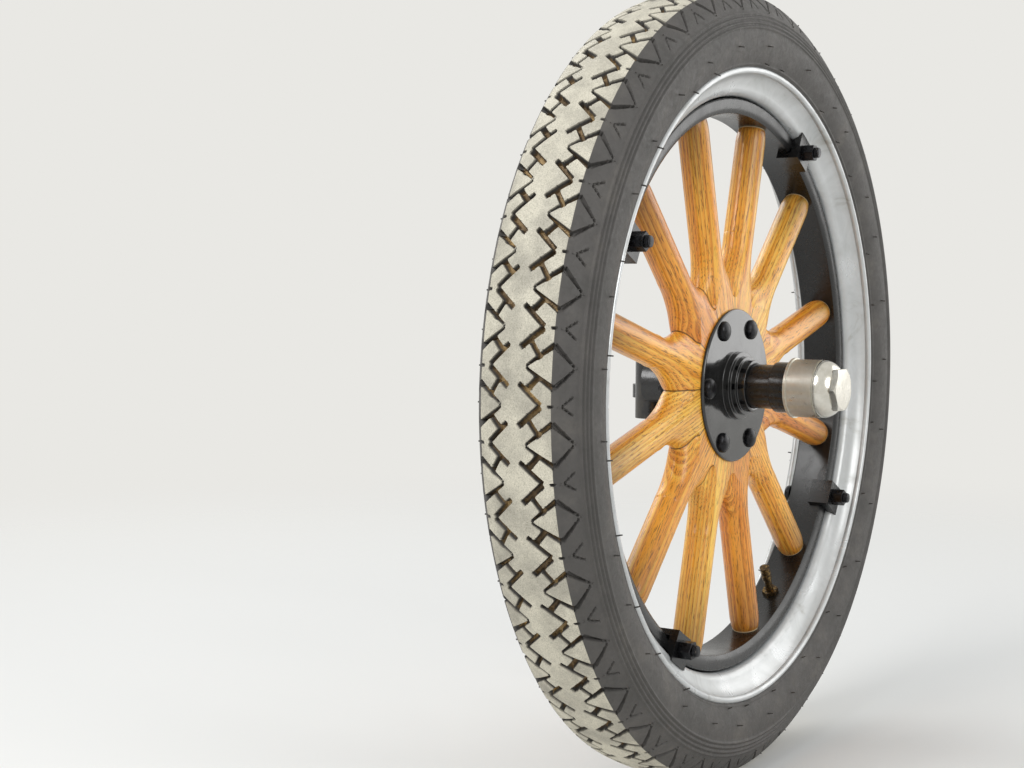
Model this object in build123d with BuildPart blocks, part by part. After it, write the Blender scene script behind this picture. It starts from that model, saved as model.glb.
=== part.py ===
"""Left front wheel of a 1920s touring car, with the stub axle that carries it.

Millimetres, +Z up. The wheel spins about the Y axis and its hub cap faces -Y. The car's
nose lies towards -X. The origin is the centre of the king-pin bore, on the wheel's axis.

Two local measures are used for everything that turns:
  a    distance outboard from the outer face of the hub flange (positive away from the car)
  r    distance from the wheel's axis
"""
from build123d import *
from math import asin, cos, degrees, radians, sin, sqrt, tan
import os

os.makedirs("parts", exist_ok=True)

# Where the wheel stands on the stub axle
HUB_OFFSET = 94.0          # king-pin axis to the outer face of the hub flange

# Felloe, the steel ring that the spokes are pressed into
FELLOE_IN_R = 265.0
FELLOE_DEPTH = 14.8        # from its inner face to its outer face
FELLOE_WIDTH = 41.8
FELLOE_BEVEL_DEPTH = 5.5   # wide bevel along its inner edge, measured on the face
FELLOE_BEVEL_BACK = 3.0    # and how far the bevel goes back from the face
FELLOE_EDGE = 1.5          # narrow bevel along its outer edge
FELLOE_SEAT_WIDTH = 5.0    # raised seat for the rim along the inboard edge

# Demountable steel rim, rolled from one strip
FELLOE_RIM_GAP = 1.6       # air between felloe and rim, closed by the seat and the clamps
RIM_GAUGE = 2.6
RIM_BASE_WIDTH = 38.0      # flat base, between the two rounded beads
RIM_BEAD_R = 8.0           # bend from the base up into the flange
RIM_BEAD_TURN = 75.0       # degrees
RIM_LIP_SPACING = 81.4     # between the centres of the two rolled lips
RIM_FLANGE_HEIGHT = 26.6   # inner face of the base to the top of the lip
LIP_ROLL = 3.4             # radius of the rolled lip
RIM_FIT = 0.1              # between the rim and what bears on it

# Tyre
TYRE_HEIGHT = 74.0         # from the top of the rim's lip to the crown
TYRE_WIDTH = 100.0
TREAD_WIDTH = 74.0         # between the two shoulders
CROWN_DROP = 9.0           # from the centre line down to the shoulder
WIDEST_BELOW = 36.0        # from the crown down to where the section is widest
SIDEWALL = 8.0
TREAD_THICK = 15.0
BEAD_WIDTH = 12.0
CAVITY_FLOOR = 4.0         # the air space starts this far above the rim's lip
CAVITY_ROUND = 18.0

# Wooden spokes
SPOKE_COUNT = 12
HEEL_THICK = 31.0          # flat heel between the two flanges
HEEL_OUT = 8.5             # the heel keeps its square edges this far outside the flange
TONGUE_LENGTH = 20.0       # from there, each flat face runs out to a point
FLARE_WIDTH = 61.0         # at the tongue's point, before the mitres cut it
THROAT_LENGTH = 40.0       # from the tongue's point to the plain shank
SHANK_WIDTH = 30.5         # round the wheel
SHANK_THICK = 30.0         # along the axle
TIP_WIDTH = 26.5
TIP_LENGTH = 15.0          # rounded off over this length at the felloe
MITRE_GAP = 0.05
SPOKE_FIT = 0.1            # between a spoke's end and the felloe

# Hub flange: a loose plate with a stepped collar
FLANGE_R = 75.5
FLANGE_THICK = 3.2
FLANGE_BEVEL = 1.4
COLLAR_STEPS = (           # height over the hub's barrel, and length, of each ring of the collar
    (11.8, 6.3),
    (7.3, 5.3),
    (4.0, 7.8),
)
BOLT_COUNT = 6
BOLT_INSET = 13.0          # bolt circle to the flange's edge
BOLT_R = 4.8
BOLT_HEAD_R = 9.8
BOLT_HEAD_HEIGHT = 7.0
BOLT_HEAD_ROUND = 2.4
BOLT_END = 4.0             # shown past the nut
NUT_FLATS = 17.0
NUT_HEIGHT = 8.0
BOLT_FIT = 0.1

# Stub axle and its two bearings
KING_BORE_R = 6.35
KING_BOSS_R = 17.0
KING_BOSS_HEIGHT = 73.0
STUB_ROOT_R = 22.0
STUB_ROOT_BEVEL = 3.0
SHIELD_R = 31.0
SHIELD_THICK = 4.0
SHIELD_GAP = 0.4
INNER_SEAT_R = 14.0
INNER_BEARING_DEPTH = 10.0
INNER_BEARING_WIDTH = 17.0
OUTER_SEAT_R = 9.5
OUTER_BEARING_DEPTH = 8.0
OUTER_BEARING_WIDTH = 14.0
OUTER_BEARING_IN = 4.0     # how far it stands inside the black band
BEARING_FIT = 0.05
THREAD_STEP = 1.6          # the stub's thread is this much smaller than the seat
THREAD_LENGTH = 22.0

# Hub
BACK_FLANGE_THICK = 6.0
NECK_LENGTH = 20.0         # inboard neck round the inner bearing
NECK_WALL = 11.0
NECK_FLARE = 3.0
BODY_WALL = 6.0            # barrel through the spokes, over the inner bearing's bore
CAVITY_STEP = 4.0          # shoulder behind the inner bearing
OUTER_STEP = 1.5           # shoulder behind the outer bearing
BARREL_WALL = 4.0          # barrel through the collar, over the outer bearing's bore
BARREL_FIT = 0.1           # between the barrel and what slips over it
BARREL_LENGTH = 23.6       # bare barrel between the collar and the black band
BAND_HEIGHT = 3.0
BAND_LENGTH = 17.0
SCREW_HEIGHT = 1.5         # the screwed end under the cap, over the barrel
SCREW_LENGTH = 14.0

# Hub cap
CAP_WALL = 4.8             # skirt over the screwed end
CAP_BEAD = 1.2             # bright ring round the skirt's inboard edge
CAP_BEAD_LENGTH = 2.5
CAP_SKIRT_LENGTH = 28.0
CAP_GROOVE = 1.6
CAP_DOME_LENGTH = 14.4
CAP_DOME_DROP = 7.0
CAP_NOSE_FLATS = 39.0
CAP_NOSE_HEIGHT = 6.5
CAP_TOP_WALL = 2.5

# Rim clamps: lugs bolted on the felloe, between the spokes
CLAMP_ANGLES = (30.0, 120.0, 210.0, 300.0)
CLAMP_WIDTH = 28.0
CLAMP_THICK = 8.5
CLAMP_FOOT = 6.0           # the foot under the felloe's inner face: its thickness
CLAMP_FOOT_LENGTH = 15.0   # and how far it reaches inboard
CLAMP_FIT = 0.3            # between the foot and the felloe
CLAMP_TOE = 7.0            # how far the toe climbs the rim's bead
CLAMP_BOLT_R = 5.0
CLAMP_BOLT_OUT = 4.5       # bolt shown past the nut
CLAMP_HEAD_R = 9.0
CLAMP_HEAD_HEIGHT = 6.0
CLAMP_NUT_FLATS = 15.5
CLAMP_NUT_HEIGHT = 12.0

# Valve
VALVE_ANGLE = 150.0
VALVE_R = 4.0
VALVE_NUT_FLATS = 15.0
VALVE_NUT_HEIGHT = 4.0
VALVE_STEM = 15.0
VALVE_CAP_R = 5.2
VALVE_CAP_LENGTH = 15.0
VALVE_SEAT = 0.3

# Steering arm, bolted through a lug on the stub axle
ARM_LUG_R = 14.0
ARM_LUG_X = 38.0
ARM_LUG_Z = -12.0
ARM_LUG_WIDTH = 26.0
ARM_STUD_R = 8.0
ARM_FIT = 0.05
ARM_THICK = 14.0
ARM_EYE_X = 150.0
ARM_EYE_Y = 48.0
ARM_EYE_R = 14.0
ARM_EYE_HEIGHT = 22.0
ARM_EYE_BORE_R = 6.35
ARM_NUT_FLATS = 24.0
ARM_NUT_HEIGHT = 12.0

# Places along the axle, as distances a
WHEEL_MID = -FLANGE_THICK - HEEL_THICK / 2
HEEL_FRONT = -FLANGE_THICK
HEEL_BACK = HEEL_FRONT - HEEL_THICK
FLANGE_BACK = HEEL_BACK - BACK_FLANGE_THICK
HUB_BACK = FLANGE_BACK - NECK_LENGTH
INNER_BEARING_END = HUB_BACK + INNER_BEARING_WIDTH
COLLAR_END = sum(length for height, length in COLLAR_STEPS)
BAND_FROM = COLLAR_END + BARREL_LENGTH
BAND_TO = BAND_FROM + BAND_LENGTH
OUTER_BEARING_END = BAND_FROM + OUTER_BEARING_IN
OUTER_BEARING_FROM = OUTER_BEARING_END - OUTER_BEARING_WIDTH
GROOVE_FROM = BAND_TO + CAP_SKIRT_LENGTH
DOME_FROM = GROOVE_FROM + CAP_GROOVE
NOSE_FROM = DOME_FROM + CAP_DOME_LENGTH
NOSE_END = NOSE_FROM + CAP_NOSE_HEIGHT
FELLOE_FACE = WHEEL_MID + FELLOE_WIDTH / 2
FELLOE_BACK = WHEEL_MID - FELLOE_WIDTH / 2

# Radii, worked outwards
INNER_BEARING_R = INNER_SEAT_R + INNER_BEARING_DEPTH
OUTER_BEARING_R = OUTER_SEAT_R + OUTER_BEARING_DEPTH
NECK_R = INNER_BEARING_R + NECK_WALL
HUB_BODY_R = INNER_BEARING_R + BODY_WALL
BARREL_R = OUTER_BEARING_R + BARREL_WALL
SCREW_R = BARREL_R + SCREW_HEIGHT
CAP_SKIRT_R = SCREW_R + CAP_WALL
BOLT_CIRCLE_R = FLANGE_R - BOLT_INSET
FELLOE_OUT_R = FELLOE_IN_R + FELLOE_DEPTH
CLAMP_CIRCLE_R = FELLOE_IN_R + FELLOE_DEPTH / 2
RIM_SEAT_R = FELLOE_OUT_R + FELLOE_RIM_GAP
RIM_MID_R = RIM_SEAT_R + RIM_GAUGE / 2
RIM_LIP_R = RIM_SEAT_R + RIM_FLANGE_HEIGHT
LIP_CENTRE_R = RIM_LIP_R - LIP_ROLL
TYRE_R = RIM_LIP_R + TYRE_HEIGHT


def at(a, r):
    """The point of the Y-Z drawing plane that lies a outboard of the flange and r off the axis."""
    return (-(HUB_OFFSET + a), r)


def from_mid(outboard, r):
    """The same, measured outboard from the wheel's middle plane."""
    return at(WHEEL_MID + outboard, r)


def clock(angle, r, a):
    """A point on the wheel, at an angle clockwise from the top as seen from outboard."""
    return Vector(r * sin(radians(angle)), -(HUB_OFFSET + a), r * cos(radians(angle)))


def radial_plane(angle, r):
    """A plane r from the axis in the wheel's middle, its Z outwards along the angle, its Y along +Y."""
    t = radians(angle)
    return Plane(origin=clock(angle, r, WHEEL_MID), x_dir=(cos(t), 0, -sin(t)), z_dir=(sin(t), 0, cos(t)))


def axial_plane(angle):
    """A plane through the wheel's axis, its X along +Y and its Y outwards along the angle."""
    t = radians(angle)
    return Plane(origin=(0, 0, 0), x_dir=(0, 1, 0), z_dir=(cos(t), 0, -sin(t)))


def face_plane(angle, r, a):
    """A plane square to the wheel's axis that looks outboard, its X outwards along the angle."""
    t = radians(angle)
    return Plane(origin=clock(angle, r, a), x_dir=(sin(t), 0, cos(t)), z_dir=(0, -1, 0))


def save(part, name):
    """Label a finished piece and write it as its own file."""
    part.label = name
    export_step(part, f"parts/{name}.step")


# The middle line of the rim's strip: a flat base, a bead at each side, and a flange that
# opens like a trumpet up to the centre of its lip
with BuildLine() as rim_strip:
    Line(from_mid(-RIM_BASE_WIDTH / 2, RIM_MID_R), from_mid(RIM_BASE_WIDTH / 2, RIM_MID_R))
    for side in (-1, 1):
        bead = JernArc(start=from_mid(side * RIM_BASE_WIDTH / 2, RIM_MID_R), tangent=(-side, 0),
                       radius=RIM_BEAD_R, arc_size=-side * RIM_BEAD_TURN)
        TangentArc(bead @ 1, from_mid(side * RIM_LIP_SPACING / 2, LIP_CENTRE_R), tangent=bead % 1)

# Tyre: crown and two sidewalls as arcs, hollow inside, with beads that stand on the rim's base
shoulder_r = TYRE_R - CROWN_DROP
cavity_top = TYRE_R - TREAD_THICK
cavity_floor = RIM_LIP_R + CAVITY_FLOOR
cavity_height = cavity_top - cavity_floor
with BuildPart() as tyre:
    with BuildSketch(Plane.YZ):
        with BuildLine():
            ThreePointArc(from_mid(-TREAD_WIDTH / 2, shoulder_r), from_mid(0, TYRE_R),
                          from_mid(TREAD_WIDTH / 2, shoulder_r))
            for side in (-1, 1):
                ThreePointArc(from_mid(side * TREAD_WIDTH / 2, shoulder_r),
                              from_mid(side * TYRE_WIDTH / 2, TYRE_R - WIDEST_BELOW),
                              from_mid(side * RIM_LIP_SPACING / 2, LIP_CENTRE_R))
            add(rim_strip.line)
        make_face()
        trace(rim_strip.edges(), line_width=RIM_GAUGE + 2 * RIM_FIT, mode=Mode.SUBTRACT)
        for side in (-1, 1):
            with Locations(from_mid(side * RIM_LIP_SPACING / 2, LIP_CENTRE_R)):
                Circle(LIP_ROLL + RIM_FIT, mode=Mode.SUBTRACT)
        with Locations(from_mid(0, (cavity_top + cavity_floor) / 2)):
            RectangleRounded(TYRE_WIDTH - 2 * SIDEWALL, cavity_height, min(CAVITY_ROUND, 0.45 * cavity_height),
                             mode=Mode.SUBTRACT)
        with Locations(from_mid(0, (RIM_MID_R + cavity_top) / 2)):
            Rectangle(RIM_BASE_WIDTH - 2 * BEAD_WIDTH, cavity_top - RIM_MID_R, mode=Mode.SUBTRACT)
    revolve(axis=Axis.Y)
save(tyre.part, "tyre")

# Rim: the strip at its even thickness, with a rolled lip along each edge
with BuildPart() as rim:
    with BuildSketch(Plane.YZ):
        trace(rim_strip.edges(), line_width=RIM_GAUGE)
        for side in (-1, 1):
            with Locations(from_mid(side * RIM_LIP_SPACING / 2, LIP_CENTRE_R)):
                Circle(LIP_ROLL)
    revolve(axis=Axis.Y)
save(rim.part, "rim")

# The holes that the clamp bolts pass through
with BuildPart() as clamp_bores:
    for angle in CLAMP_ANGLES:
        with BuildSketch(face_plane(angle, CLAMP_CIRCLE_R, WHEEL_MID)):
            Circle(CLAMP_BOLT_R + BOLT_FIT)
        extrude(amount=FELLOE_WIDTH + CLAMP_THICK, both=True)

# Felloe: a broad ring, bevelled on its outboard face, with a raised seat for the rim inboard
with BuildPart() as felloe:
    with BuildSketch(Plane.YZ):
        with BuildLine():
            Polyline(at(FELLOE_BACK, FELLOE_IN_R + FELLOE_EDGE), at(FELLOE_BACK + FELLOE_EDGE, FELLOE_IN_R),
                     at(FELLOE_FACE - FELLOE_BEVEL_BACK, FELLOE_IN_R),
                     at(FELLOE_FACE, FELLOE_IN_R + FELLOE_BEVEL_DEPTH),
                     at(FELLOE_FACE, FELLOE_OUT_R - FELLOE_EDGE), at(FELLOE_FACE - FELLOE_EDGE, FELLOE_OUT_R),
                     at(FELLOE_BACK + FELLOE_SEAT_WIDTH, FELLOE_OUT_R),
                     at(FELLOE_BACK + FELLOE_SEAT_WIDTH, RIM_SEAT_R - RIM_FIT),
                     at(FELLOE_BACK, RIM_SEAT_R - RIM_FIT), close=True)
        make_face()
    revolve(axis=Axis.Y)
    add(clamp_bores.part, mode=Mode.SUBTRACT)
save(felloe.part, "felloe")

# The holes that the flange bolts pass through, on the mitres between the spokes
with BuildPart() as flange_bores:
    for number in range(BOLT_COUNT):
        with BuildSketch(face_plane((number + 0.5) * 360 / BOLT_COUNT, BOLT_CIRCLE_R, WHEEL_MID)):
            Circle(BOLT_R + BOLT_FIT)
        extrude(amount=HEEL_THICK + BACK_FLANGE_THICK, both=True)

# A spoke's cross-sections are ovals. The heel's go round its rectangle and sink into its flat
# faces, which so end in a pointed tongue. Beyond that, a hollow throat narrows them by a
# parabola from the mitres to the plain shank.
half_pitch = radians(180 / SPOKE_COUNT)
heel_r = FLANGE_R + HEEL_OUT
tongue_r = heel_r + TONGUE_LENGTH
throat_r = tongue_r + THROAT_LENGTH
tip_r = FELLOE_IN_R - TIP_LENGTH
round_heel_width = sqrt(2) * 2 * heel_r * tan(half_pitch)
round_heel_thick = sqrt(2) * HEEL_THICK


def spoke_oval(r):
    """Width round the wheel and thickness along the axle of a spoke's oval at radius r."""
    if r < tongue_r:
        left = (tongue_r - r) / TONGUE_LENGTH
        return (FLARE_WIDTH + left * (round_heel_width - FLARE_WIDTH),
                HEEL_THICK + left ** 2 * (round_heel_thick - HEEL_THICK))
    left = max(0, 1 - (r - tongue_r) / THROAT_LENGTH) ** 2
    return SHANK_WIDTH + left * (FLARE_WIDTH - SHANK_WIDTH), SHANK_THICK + left * (HEEL_THICK - SHANK_THICK)


# Stretches of a spoke, from the hub out: where each starts and ends, and its ovals, evenly spaced
flare_step = (throat_r - heel_r) / 6
flare_end = throat_r + flare_step
FLARE_OVALS = [(heel_r + step * flare_step, *spoke_oval(heel_r + step * flare_step)) for step in range(8)]
TIP_OVALS = (              # radius, width round the wheel, thickness along the axle
    (tip_r, SHANK_WIDTH, SHANK_THICK),
    (tip_r + TIP_LENGTH / 2, (3 * SHANK_WIDTH + TIP_WIDTH) / 4, (3 * SHANK_THICK + TIP_WIDTH) / 4),
    (tip_r + TIP_LENGTH, TIP_WIDTH, TIP_WIDTH),
)

# Spokes: turned and shaved from a square billet, mitred against their neighbours in the hub
for number in range(SPOKE_COUNT):
    angle = (number + 0.5) * 360 / SPOKE_COUNT
    wedge_plane = Plane(origin=clock(angle, 0, WHEEL_MID), x_dir=radial_plane(angle, 0).x_dir, z_dir=(0, -1, 0))
    with BuildPart() as spoke:
        with BuildSketch(radial_plane(angle, 0)):
            Ellipse(round_heel_width / 2, round_heel_thick / 2)
        extrude(amount=heel_r)
        for ovals in (FLARE_OVALS, TIP_OVALS):
            for radius, width, thick in ovals:
                with BuildSketch(radial_plane(angle, radius)):
                    Ellipse(width / 2, thick / 2)
            loft()
        with BuildSketch(radial_plane(angle, flare_end)):
            Ellipse(SHANK_WIDTH / 2, SHANK_THICK / 2)
        extrude(amount=tip_r - flare_end)
        with BuildSketch(wedge_plane):
            with BuildLine():
                half_reach = FELLOE_OUT_R * tan(half_pitch)
                Polyline((0, 0), (-half_reach, FELLOE_OUT_R), (half_reach, FELLOE_OUT_R), close=True)
            make_face()
            offset(amount=-MITRE_GAP)
        extrude(amount=HEEL_THICK / 2, both=True, mode=Mode.INTERSECT)
        with BuildSketch(wedge_plane):
            Circle(FELLOE_IN_R - SPOKE_FIT)
            Circle(HUB_BODY_R + SPOKE_FIT, mode=Mode.SUBTRACT)
        extrude(amount=HEEL_THICK, both=True, mode=Mode.INTERSECT)
        add(flange_bores.part, mode=Mode.SUBTRACT)
    save(spoke.part, f"spoke_{number + 1:02d}")

# Hub: barrel and back flange in one forging, bored for the two bearings
with BuildPart() as hub:
    with BuildSketch(Plane.YZ):
        with BuildLine():
            Polyline(at(HUB_BACK, INNER_BEARING_R), at(HUB_BACK, NECK_R), at(FLANGE_BACK, NECK_R + NECK_FLARE),
                     at(FLANGE_BACK, FLANGE_R - FLANGE_BEVEL), at(FLANGE_BACK + FLANGE_BEVEL, FLANGE_R),
                     at(HEEL_BACK, FLANGE_R), at(HEEL_BACK, HUB_BODY_R), at(HEEL_FRONT, HUB_BODY_R),
                     at(HEEL_FRONT, BARREL_R), at(BAND_FROM, BARREL_R), at(BAND_FROM, BARREL_R + BAND_HEIGHT),
                     at(BAND_TO, BARREL_R + BAND_HEIGHT), at(BAND_TO, SCREW_R),
                     at(BAND_TO + SCREW_LENGTH, SCREW_R), at(BAND_TO + SCREW_LENGTH, OUTER_BEARING_R),
                     at(OUTER_BEARING_FROM, OUTER_BEARING_R), at(OUTER_BEARING_FROM, OUTER_BEARING_R - OUTER_STEP),
                     at(HEEL_FRONT, OUTER_BEARING_R - OUTER_STEP), at(HEEL_FRONT, INNER_BEARING_R - CAVITY_STEP),
                     at(INNER_BEARING_END, INNER_BEARING_R - CAVITY_STEP),
                     at(INNER_BEARING_END, INNER_BEARING_R), close=True)
        make_face()
    revolve(axis=Axis.Y)
    add(flange_bores.part, mode=Mode.SUBTRACT)
save(hub.part, "hub")

# Hub flange: the loose outer plate, with a collar that steps down to the barrel
with BuildPart() as hub_flange:
    with BuildSketch(Plane.YZ):
        collar = []
        reached = 0.0
        for height, length in COLLAR_STEPS:
            collar += [at(reached, BARREL_R + height), at(reached + length, BARREL_R + height)]
            reached += length
        with BuildLine():
            Polyline(at(HEEL_FRONT, BARREL_R + BARREL_FIT), at(HEEL_FRONT, FLANGE_R), at(-FLANGE_BEVEL, FLANGE_R),
                     at(0, FLANGE_R - FLANGE_BEVEL), *collar, at(reached, BARREL_R + BARREL_FIT), close=True)
        make_face()
    revolve(axis=Axis.Y)
    add(flange_bores.part, mode=Mode.SUBTRACT)
save(hub_flange.part, "hub_flange")

# Flange bolts: round heads on the outer plate, shanks through the mitres, nuts on the back flange
with BuildPart() as hub_bolts:
    for number in range(BOLT_COUNT):
        angle = (number + 0.5) * 360 / BOLT_COUNT
        with BuildSketch(face_plane(angle, BOLT_CIRCLE_R, 0)):
            Circle(BOLT_HEAD_R)
        extrude(amount=BOLT_HEAD_HEIGHT)
        with BuildSketch(face_plane(angle, BOLT_CIRCLE_R, FLANGE_BACK - NUT_HEIGHT - BOLT_END)):
            Circle(BOLT_R)
        extrude(amount=BOLT_END + NUT_HEIGHT - FLANGE_BACK)
    fillet(hub_bolts.edges().group_by(Axis.Y)[0], BOLT_HEAD_ROUND)
save(hub_bolts.part, "hub_bolts")

with BuildPart() as hub_nuts:
    for number in range(BOLT_COUNT):
        angle = (number + 0.5) * 360 / BOLT_COUNT
        with BuildSketch(face_plane(angle, BOLT_CIRCLE_R, FLANGE_BACK)):
            RegularPolygon(NUT_FLATS / 2, 6, major_radius=False)
            Circle(BOLT_R + BOLT_FIT, mode=Mode.SUBTRACT)
        extrude(amount=-NUT_HEIGHT)
save(hub_nuts.part, "hub_nuts")

# Hub cap: a skirt screwed on the hub's end, a rounded shoulder, and a six-sided nose whose
# corners are turned off to a round face
with BuildPart() as hub_cap:
    with BuildSketch(Plane.XZ.offset(HUB_OFFSET + NOSE_FROM)):
        RegularPolygon(CAP_NOSE_FLATS / 2, 6, major_radius=False)
    extrude(amount=CAP_NOSE_HEIGHT)
    with BuildSketch(Plane.YZ):
        with BuildLine():
            Polyline(at(NOSE_FROM, 0), at(NOSE_FROM, CAP_NOSE_FLATS / 2 + 2 * CAP_NOSE_HEIGHT),
                     at(NOSE_END, CAP_NOSE_FLATS / 2), at(NOSE_END, 0), close=True)
        make_face()
    revolve(axis=Axis.Y, mode=Mode.INTERSECT)
    with BuildSketch(Plane.YZ):
        with BuildLine():
            Polyline(at(BAND_TO, SCREW_R + BARREL_FIT), at(BAND_TO, CAP_SKIRT_R + CAP_BEAD),
                     at(BAND_TO + CAP_BEAD_LENGTH, CAP_SKIRT_R + CAP_BEAD),
                     at(BAND_TO + CAP_BEAD_LENGTH, CAP_SKIRT_R), at(GROOVE_FROM, CAP_SKIRT_R),
                     at(GROOVE_FROM, CAP_SKIRT_R - CAP_GROOVE), at(DOME_FROM, CAP_SKIRT_R - CAP_GROOVE),
                     at(DOME_FROM, CAP_SKIRT_R))
            TangentArc(at(DOME_FROM, CAP_SKIRT_R), at(NOSE_FROM, CAP_SKIRT_R - CAP_DOME_DROP), tangent=(-1, 0))
            Polyline(at(NOSE_FROM, CAP_SKIRT_R - CAP_DOME_DROP), at(NOSE_FROM, 0), at(NOSE_FROM - CAP_TOP_WALL, 0),
                     at(NOSE_FROM - CAP_TOP_WALL, CAP_SKIRT_R - CAP_DOME_DROP - 2 * CAP_TOP_WALL),
                     at(BAND_TO + SCREW_LENGTH, SCREW_R + BARREL_FIT), at(BAND_TO, SCREW_R + BARREL_FIT))
        make_face()
    revolve(axis=Axis.Y)
save(hub_cap.part, "hub_cap")

# Rim clamps: a lug whose foot hooks under the felloe and whose toe bears on the rim's bead
clamp_half_arc = degrees(asin(CLAMP_WIDTH / 2 / FELLOE_IN_R))
clamp_front = FELLOE_FACE + CLAMP_THICK
foot_top = FELLOE_IN_R - CLAMP_FIT
foot_bottom = foot_top - CLAMP_FOOT
foot_back = FELLOE_FACE - CLAMP_FOOT_LENGTH
with BuildPart() as rim_clamps:
    for angle in CLAMP_ANGLES:
        with BuildSketch(axial_plane(angle - clamp_half_arc)):
            with BuildLine():
                Polyline(at(foot_back, foot_bottom), at(clamp_front, foot_bottom),
                         at(clamp_front, RIM_SEAT_R + CLAMP_TOE), at(FELLOE_FACE, RIM_SEAT_R + CLAMP_TOE),
                         at(FELLOE_FACE, foot_top), at(foot_back, foot_top), close=True)
            make_face()
            with BuildLine():
                Polyline(from_mid(RIM_BASE_WIDTH / 2, RIM_MID_R), from_mid(0, RIM_MID_R),
                         from_mid(0, RIM_LIP_R), from_mid(RIM_LIP_SPACING / 2, LIP_CENTRE_R))
                add(rim_strip.edges().sort_by(Axis.X)[:2])
            make_face(mode=Mode.SUBTRACT)
            trace(rim_strip.edges(), line_width=RIM_GAUGE + 2 * RIM_FIT, mode=Mode.SUBTRACT)
        revolve(axis=Axis.Y, revolution_arc=2 * clamp_half_arc)
    add(clamp_bores.part, mode=Mode.SUBTRACT)
save(rim_clamps.part, "rim_clamps")

# Clamp bolts through felloe and lug: a round head inboard, and a nut outboard
with BuildPart() as clamp_bolts:
    for angle in CLAMP_ANGLES:
        with BuildSketch(face_plane(angle, CLAMP_CIRCLE_R, FELLOE_BACK)):
            Circle(CLAMP_HEAD_R)
        extrude(amount=-CLAMP_HEAD_HEIGHT)
        with BuildSketch(face_plane(angle, CLAMP_CIRCLE_R, FELLOE_BACK)):
            Circle(CLAMP_BOLT_R)
        extrude(amount=clamp_front + CLAMP_NUT_HEIGHT + CLAMP_BOLT_OUT - FELLOE_BACK)
    fillet(clamp_bolts.edges().group_by(Axis.Y)[-1], CLAMP_HEAD_HEIGHT / 2)
save(clamp_bolts.part, "clamp_bolts")

with BuildPart() as clamp_nuts:
    for angle in CLAMP_ANGLES:
        with BuildSketch(face_plane(angle, CLAMP_CIRCLE_R, clamp_front)):
            RegularPolygon(CLAMP_NUT_FLATS / 2, 6, major_radius=False)
            Circle(CLAMP_BOLT_R + BOLT_FIT, mode=Mode.SUBTRACT)
        extrude(amount=CLAMP_NUT_HEIGHT)
save(clamp_nuts.part, "clamp_nuts")

# Valve: a seat nut against the felloe, the stem and its dust cap
VALVE_PIECES = (           # start and end, measured inwards from the felloe, and what is drawn there
    (VALVE_SEAT, VALVE_NUT_HEIGHT, "nut"),
    (VALVE_NUT_HEIGHT, VALVE_NUT_HEIGHT + VALVE_STEM, "stem"),
    (VALVE_NUT_HEIGHT + VALVE_STEM, VALVE_NUT_HEIGHT + VALVE_STEM + VALVE_CAP_LENGTH, "cap"),
)
with BuildPart() as valve_stem:
    for start, end, piece in VALVE_PIECES:
        with BuildSketch(radial_plane(VALVE_ANGLE, FELLOE_IN_R - start)):
            if piece == "nut":
                RegularPolygon(VALVE_NUT_FLATS / 2, 6, major_radius=False)
            else:
                Circle(VALVE_R if piece == "stem" else VALVE_CAP_R)
        extrude(amount=start - end)
save(valve_stem.part, "valve_stem")

# Stub axle: a king-pin boss, the turned stub with its two bearing seats, and a lug for the arm
stub_shoulder = HUB_BACK - SHIELD_GAP
thread_r = OUTER_SEAT_R - THREAD_STEP
with BuildPart() as stub_axle:
    with BuildSketch(Plane.YZ):
        with BuildLine():
            Polyline(at(-HUB_OFFSET, 0), at(-HUB_OFFSET, STUB_ROOT_R + STUB_ROOT_BEVEL),
                     at(stub_shoulder - SHIELD_THICK, STUB_ROOT_R), at(stub_shoulder, STUB_ROOT_R),
                     at(stub_shoulder, INNER_SEAT_R), at(INNER_BEARING_END, INNER_SEAT_R),
                     at(OUTER_BEARING_FROM, OUTER_SEAT_R), at(OUTER_BEARING_END, OUTER_SEAT_R),
                     at(OUTER_BEARING_END, thread_r), at(OUTER_BEARING_END + THREAD_LENGTH, thread_r),
                     at(OUTER_BEARING_END + THREAD_LENGTH, 0), close=True)
        make_face()
    revolve(axis=Axis.Y)
    with BuildSketch(Plane.XY.offset(-KING_BOSS_HEIGHT / 2)):
        Circle(KING_BOSS_R)
    extrude(amount=KING_BOSS_HEIGHT)
    with BuildSketch(Plane.XZ.offset(-ARM_LUG_WIDTH / 2)):
        with Locations((ARM_LUG_X, ARM_LUG_Z)):
            Circle(ARM_LUG_R)
        with Locations((ARM_LUG_X / 2, ARM_LUG_Z)):
            Rectangle(ARM_LUG_X, 2 * ARM_LUG_R)
    extrude(amount=ARM_LUG_WIDTH)
    with BuildSketch(Plane.XZ.offset(-ARM_LUG_WIDTH)):
        with Locations((ARM_LUG_X, ARM_LUG_Z)):
            Circle(ARM_STUD_R + ARM_FIT)
    extrude(amount=2 * ARM_LUG_WIDTH, mode=Mode.SUBTRACT)
    with BuildSketch(Plane.XY.offset(-KING_BOSS_HEIGHT)):
        Circle(KING_BORE_R)
    extrude(amount=2 * KING_BOSS_HEIGHT, mode=Mode.SUBTRACT)
save(stub_axle.part, "stub_axle")

# Dust shield: a thin washer between the stub's shoulder and the hub's neck
with BuildPart() as dust_shield:
    with BuildSketch(Plane.XZ.offset(HUB_OFFSET + stub_shoulder)):
        Circle(SHIELD_R)
        Circle(STUB_ROOT_R + ARM_FIT, mode=Mode.SUBTRACT)
    extrude(amount=-SHIELD_THICK)
save(dust_shield.part, "dust_shield")

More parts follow.
